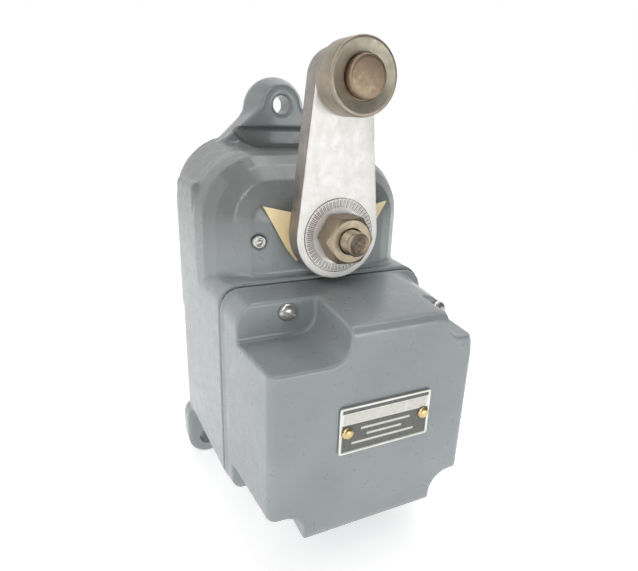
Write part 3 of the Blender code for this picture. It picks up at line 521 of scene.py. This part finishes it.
def return_spring():
    """The torsion coil: it winds between the turning collar and the tang held in the housing's wall."""
    steps = COIL_TURNS * POINTS_PER_TURN
    path = [(0.0, TANG_ENDS[0], SPRING_RADIUS)]
    for i in range(steps + 1):
        angle = math.tau * i / POINTS_PER_TURN
        y = COIL_ENDS[0] + (COIL_ENDS[1] - COIL_ENDS[0]) * i / steps
        path.append((SPRING_RADIUS * math.sin(angle), y, SPRING_RADIUS * math.cos(angle)))
    path += [(0.0, COIL_ENDS[1] + 0.5 * i, SPRING_RADIUS) for i in range(1, 10)]
    path.append((0.0, TANG_ENDS[1], SPRING_RADIUS))
    curve = bpy.data.curves.new("spring_path", "CURVE")
    curve.dimensions = "3D"
    curve.bevel_depth, curve.bevel_resolution, curve.use_fill_caps = WIRE_RADIUS * MM, 3, True
    spline = curve.splines.new("POLY")
    spline.points.add(len(path) - 1)
    for point, place in zip(spline.points, path):
        point.co = (*(Vector(place) * MM), 1.0)
    holder = bpy.data.objects.new("spring_path", curve)
    bpy.context.scene.collection.objects.link(holder)
    mesh = bpy.data.meshes.new_from_object(holder.evaluated_get(bpy.context.evaluated_depsgraph_get()))
    bpy.data.objects.remove(holder, do_unlink=True)
    mesh.materials.clear()
    mesh.materials.append(FINISHES["spring_steel"])
    made = bpy.data.objects.new("torsion_spring", mesh)
    bpy.context.scene.collection.objects.link(made)
    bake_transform(made)
    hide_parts("return_spring")


return_spring()

# ---------------------------------------------------------------- roller
ROLLER_BACK = HUB_Y - 1.3
ROLLER_FRONT = ROLLER_BACK - ROLLER_WIDTH
DISH = ROLLER_FRONT + 1.2
TIP = (0.0, LEVER_LENGTH)

ROLLER_PROFILE = [
    (6.4, ROLLER_BACK), (11.9, ROLLER_BACK), (12.5, ROLLER_BACK - 0.25), (ROLLER_RADIUS, ROLLER_BACK - 0.8),
    *reversed(rounding(ROLLER_RADIUS, ROLLER_FRONT, 0.9)), (11.3, ROLLER_FRONT), (11.0, ROLLER_FRONT + 0.15),
    (7.8, ROLLER_FRONT + 0.25), (7.55, ROLLER_FRONT + 0.4), (7.5, DISH), (6.4, DISH)]
PIN_PROFILE = [
    (0, DISH - 3.95), (5.6, DISH - 3.9), (6.2, DISH - 3.8), (6.7, DISH - 3.5), (7.0, DISH - 3.1),
    (7.1, DISH - 2.7), (7.1, DISH - 0.3), (4.1, DISH - 0.3), (4.1, -62.2), (6.0, -62.2), (5.8, -61.4),
    (5.2, -60.8), (0, -60.6)]
piece("turned_roller", "roller_body", "roller_steel",
      filled("roller", lambda bm: turned(bm, ROLLER_PROFILE, TIP, 128, True)), ["roller"], 38.0)
piece("pin_with_head", "lever_body", "pin_bronze",
      filled("pin", lambda bm: turned(bm, PIN_PROFILE, TIP)), ["roller_pin"], 38.0)

# ---------------------------------------------------------------- small fittings on the head
PLUG_PROFILE = [(0, -60.1), (0.8, -60.05), (1.1, -59.75), (1.5, -59.7), (1.75, -60.05), (2.2, -60.1),
                (2.5, -59.8), (2.55, -57.0), (0, -57.0)]
PLUG_CENTRE = (-27.8, -3.6)
piece("plug_with_ring", "housing_body", "shaft_steel",
      filled("plug", lambda bm: turned(bm, PLUG_PROFILE, PLUG_CENTRE, 40)), ["head_plug"], 60.0,
      ["zinc_plate"])


def direction_arrows(bm):
    """The two pointed wings, bent a little forward along an upright fold."""
    back = HEAD_FACE_Y - 0.8
    fold, lift = 17.0, 0.55
    upper = [(10.0, 6.4), (fold, 8.1), (27.0, 10.6)]
    lower = [(13.0, -12.0), (fold, -6.9), (27.0, 10.6)]
    for side in (-1, 1):
        for (near_up, far_up), (near_low, far_low) in zip(zip(upper, upper[1:]), zip(lower, lower[1:])):
            outline = [near_low, far_low] + ([far_up] if far_up != far_low else []) + [near_up]
            ring = [[bm.verts.new((side * x * MM, (y - lift * max(0.0, x - fold) / 10.0) * MM, z * MM))
                     for x, z in outline] for y in (back - 1.0, back)]
            bm.faces.new(ring[0])
            bm.faces.new(ring[1])
            for i in range(len(outline)):
                j = (i + 1) % len(outline)
                bm.faces.new((ring[0][i], ring[0][j], ring[1][j], ring[1][i]))
        inner = [(side * 13.0, -12.0), (side * 10.0, 6.4), (side * 8.4, 6.0), (side * 8.4, -8.6)]
        loft(bm, [(back - 1.0, inner), (back, inner)])


piece("direction_arrows", "housing_body", "yellow_enamel", filled("arrows", direction_arrows),
      ["direction_plate"], 20.0)

# ---------------------------------------------------------------- cover screws
# x, z, the y of the boss under the head and the y of the shank's end
SCREWS = {1: (-24.4, -25.0, -80.5, -55.5), 2: (-36.0, -98.6, -73.0, -52.0),
          3: (35.6, -28.1, -91.0, -55.5), 4: (36.0, -98.6, -73.0, -52.0)}
SCREW_HEAD_HEIGHT = 2.2
DOME = ((0, 0.0), (1.0, 0.06), (2.0, 0.28), (2.9, 0.8), (3.35, 1.4), (3.5, 1.9))


def screw_mesh(x, z, boss, end, slot_turn):
    """A slotted screw with a low domed head."""
    seat = boss - 0.3
    crown = seat - SCREW_HEAD_HEIGHT
    turn = Matrix.Rotation(math.radians(slot_turn), 4, "Y")

    def slot_box(bm):
        bmesh.ops.create_cube(bm, matrix=Matrix.Translation((x * MM, (crown + 0.2) * MM, z * MM)) @ turn
                              @ Matrix.Diagonal((9 * MM, 1.9 * MM, 0.95 * MM, 1.0)))

    profile = [(radius, crown + depth) for radius, depth in DOME]
    profile += [(3.5, seat), (1.9, seat), (1.9, end), (0, end)]
    return carved("screw", lambda bm: turned(bm, profile, (x, z), 48), [("DIFFERENCE", slot_box)])


for number, (x, z, boss, end) in SCREWS.items():
    piece(f"slotted_screw_{number}", "housing_body", "zinc_plate", screw_mesh(x, z, boss, end, 24.0 * number),
          [f"cover_screw_{number}"], 30.0)

# ---------------------------------------------------------------- nameplate
PLATE_FRONT = COVER_FACE_Y - 0.3 - 0.8
PINS = ((-12.9, -61.0), (18.9, -60.2))


def plate_blank(bm):
    x, z = PLATE_CENTRE
    sections = []
    for inset, y in ((0.0, PLATE_FRONT + 0.8), (0.0, PLATE_FRONT + 0.15), (0.15, PLATE_FRONT),
                     (0.75, PLATE_FRONT), (0.9, PLATE_FRONT + 0.14)):
        outline = rounded(PLATE_HALF[0] - inset, z - PLATE_HALF[1] + inset, z + PLATE_HALF[1] - inset,
                          1.0 - inset * 0.5, 3, x)
        sections.append((y, outline))
    loft(bm, sections)


def pin_holes(bm):
    for x, z in PINS:
        turned(bm, [(0, -120.0), (1.5, -120.0), (1.5, -100.0), (0, -100.0)], (x, z), 32)


piece("nameplate_border", "housing_body", "plate_aluminium",
      carved("plate", plate_blank, [("DIFFERENCE", pin_holes)]), ["nameplate"], 30.0)


def field(name, finish, x, z, low=PLATE_FRONT + 0.16, high=PLATE_FRONT + 0.05):
    """A printed or etched field, a thin layer within the raised border."""
    outline = [(x[0], z[0]), (x[1], z[0]), (x[1], z[1]), (x[0], z[1])]
    mesh = carved(name, lambda bm: loft(bm, [(high, outline), (low, outline)]), [("DIFFERENCE", pin_holes)])
    piece(name, "housing_body", "plate_aluminium", mesh, (), 30.0, [finish])


left, right = PLATE_CENTRE[0] - PLATE_HALF[0] + 1.1, PLATE_CENTRE[0] + PLATE_HALF[0] - 1.1
top, bottom = PLATE_CENTRE[1] + PLATE_HALF[1] - 1.1, PLATE_CENTRE[1] - PLATE_HALF[1] + 1.1
field("plate_top_band", "plate_ink", (left, right), (top - 1.3, top))
blank = (top - 5.6, top - 1.8)
field("plate_blank_left", "plate_field", (left + 0.5, right - 9.6), blank)
field("plate_blank_right", "plate_field", (right - 9.1, right - 0.5), blank)
field("plate_lower", "plate_ink", (left, right), (bottom, top - 6.0))
for row, (start, end) in enumerate(((-7.5, 13.0), (-5.0, 9.5), (-11.0, 15.0))):
    z = top - 8.3 - 2.7 * row
    field(f"plate_bar_{row + 1}", "plate_field", (start, end), (z - 0.45, z + 0.45), PLATE_FRONT + 0.05,
          PLATE_FRONT + 0.01)

PIN_SEAT = PLATE_FRONT - 0.3
PIN_TIP = COVER_FACE_Y + 2.8
DRIVE_PIN_PROFILE = [
    (0, PIN_SEAT - 1.2), (0.9, PIN_SEAT - 1.12), (1.6, PIN_SEAT - 0.85), (2.1, PIN_SEAT - 0.4), (2.3, PIN_SEAT),
    (1.15, PIN_SEAT), (1.15, PIN_TIP), (0, PIN_TIP)]
for number, place in enumerate(PINS, 1):
    pin_mesh = filled("drive_pin", lambda bm: turned(bm, DRIVE_PIN_PROFILE, place, 32))
    piece(f"drive_pin_{number}", "housing_body", "brass", pin_mesh, [f"nameplate_pin_{number}"], 40.0)

# ---------------------------------------------------------------- finishes of the CAD nodes that stay
for row in frame["record"]["subparts"]:
    node = frame["nodes"][row["node"]]
    node.data.materials.clear()
    node.data.materials.append(FINISHES[row["material_slot"]])


# ---------------------------------------------------------------- studio
def lamp(name, place, target, size, power, colour=(1.0, 1.0, 1.0)):
    light = bpy.data.lights.new(name, "AREA")
    light.shape, light.energy, light.color = "RECTANGLE", power, colour
    light.size, light.size_y = size
    holder = bpy.data.objects.new(name, light)
    holder.location = place
    holder.rotation_euler = (Vector(target) - Vector(place)).to_track_quat("-Z", "Y").to_euler()
    bpy.context.scene.collection.objects.link(holder)


MIDDLE = (0.0, -0.06, -0.03)
lamp("strip_left", (-0.62, -0.60, 0.30), MIDDLE, (0.04, 1.10), 2.0, (1.0, 0.93, 0.95))
lamp("strip_far_left", (-0.72, -0.48, 0.30), MIDDLE, (0.02, 1.10), 0.9, (1.0, 0.93, 0.95))
lamp("strip_above_left", (-0.40, -0.52, 0.72), MIDDLE, (0.04, 0.60), 1.4)
lamp("window_front", (0.25, -1.0, -0.02), MIDDLE, (0.7, 0.16), 2.5, (0.93, 1.0, 1.0))
lamp("window_left", (-1.0, -0.15, 0.05), MIDDLE, (0.6, 0.6), 0.2, (1.0, 0.90, 0.94))
lamp("ceiling", (0.2, 0.1, 0.9), MIDDLE, (0.7, 0.7), 4.2)

sky = bpy.data.worlds.new("studio")
sky.use_nodes = True
sky.node_tree.nodes["Background"].inputs["Color"].default_value = (1.0, 1.0, 1.0, 1.0)
sky.node_tree.nodes["Background"].inputs["Strength"].default_value = 1.0
bpy.context.scene.world = sky


def floor_mesh(bm):
    bmesh.ops.create_grid(bm, x_segments=1, y_segments=1, size=3.0)
    bmesh.ops.translate(bm, verts=bm.verts, vec=(0, 0, cad_bounds[0].z - 0.0005))


floor = bpy.data.objects.new("floor", filled("floor", floor_mesh))
floor.data.materials.append(moulded("floor", (0.93, 0.93, 0.93), (0.90, 0.90, 0.90), 0.9, 3.0, 0.0))
glow = floor.data.materials[0].node_tree.nodes["Principled BSDF"]
glow.inputs["Emission Color"].default_value = (1.0, 1.0, 1.0, 1.0)
glow.inputs["Emission Strength"].default_value = 0.45
bpy.context.scene.collection.objects.link(floor)


def flag(name, place, size, facing):
    """A grey screen that keeps the bright surroundings off the front and the top."""
    made = bpy.data.objects.new(name, filled(name, lambda bm: bmesh.ops.create_grid(
        bm, x_segments=1, y_segments=1, size=size)))
    made.location = place
    made.rotation_euler = Vector(facing).to_track_quat("Z", "Y").to_euler()
    made.data.materials.append(moulded(name, (0.22, 0.22, 0.22), (0.20, 0.20, 0.20), 0.9, 3.0, 0.0))
    made.visible_camera = False
    bpy.context.scene.collection.objects.link(made)


flag("flag_front", (0.3, -2.2, 1.0), 2.4, (0, 1, 0))
flag("flag_top", (0.0, -0.2, 1.6), 1.5, (0, 0, -1))
flag("flag_right", (2.2, -1.8, 1.0), 2.0, (-1, 0, 0))
flag("flag_left", (-2.4, -1.6, 1.0), 1.8, (1, 0, 0))

# ---------------------------------------------------------------- camera
AZIMUTH, ELEVATION, ROLL = (math.radians(a) for a in (-25.437, 18.917, 1.976))
back = Vector((math.sin(AZIMUTH) * math.cos(ELEVATION), -math.cos(AZIMUTH) * math.cos(ELEVATION),
               math.sin(ELEVATION)))
right_level = Vector((math.cos(AZIMUTH), math.sin(AZIMUTH), 0.0))
up_level = back.cross(right_level)
right_axis = math.cos(ROLL) * right_level + math.sin(ROLL) * up_level
up_axis = -math.sin(ROLL) * right_level + math.cos(ROLL) * up_level
lens = bpy.data.cameras.new("camera")
lens.lens, lens.sensor_width, lens.clip_start = 28.325, 36.0, 0.01
camera = bpy.data.objects.new("camera", lens)
stand = Matrix((right_axis, up_axis, back)).transposed().to_4x4()
stand.translation = Vector((-0.0875, -0.2397, 0.0442))
camera.matrix_world = stand
bpy.context.scene.collection.objects.link(camera)
bpy.context.scene.camera = camera
bpy.context.scene.view_settings.view_transform = "Standard"
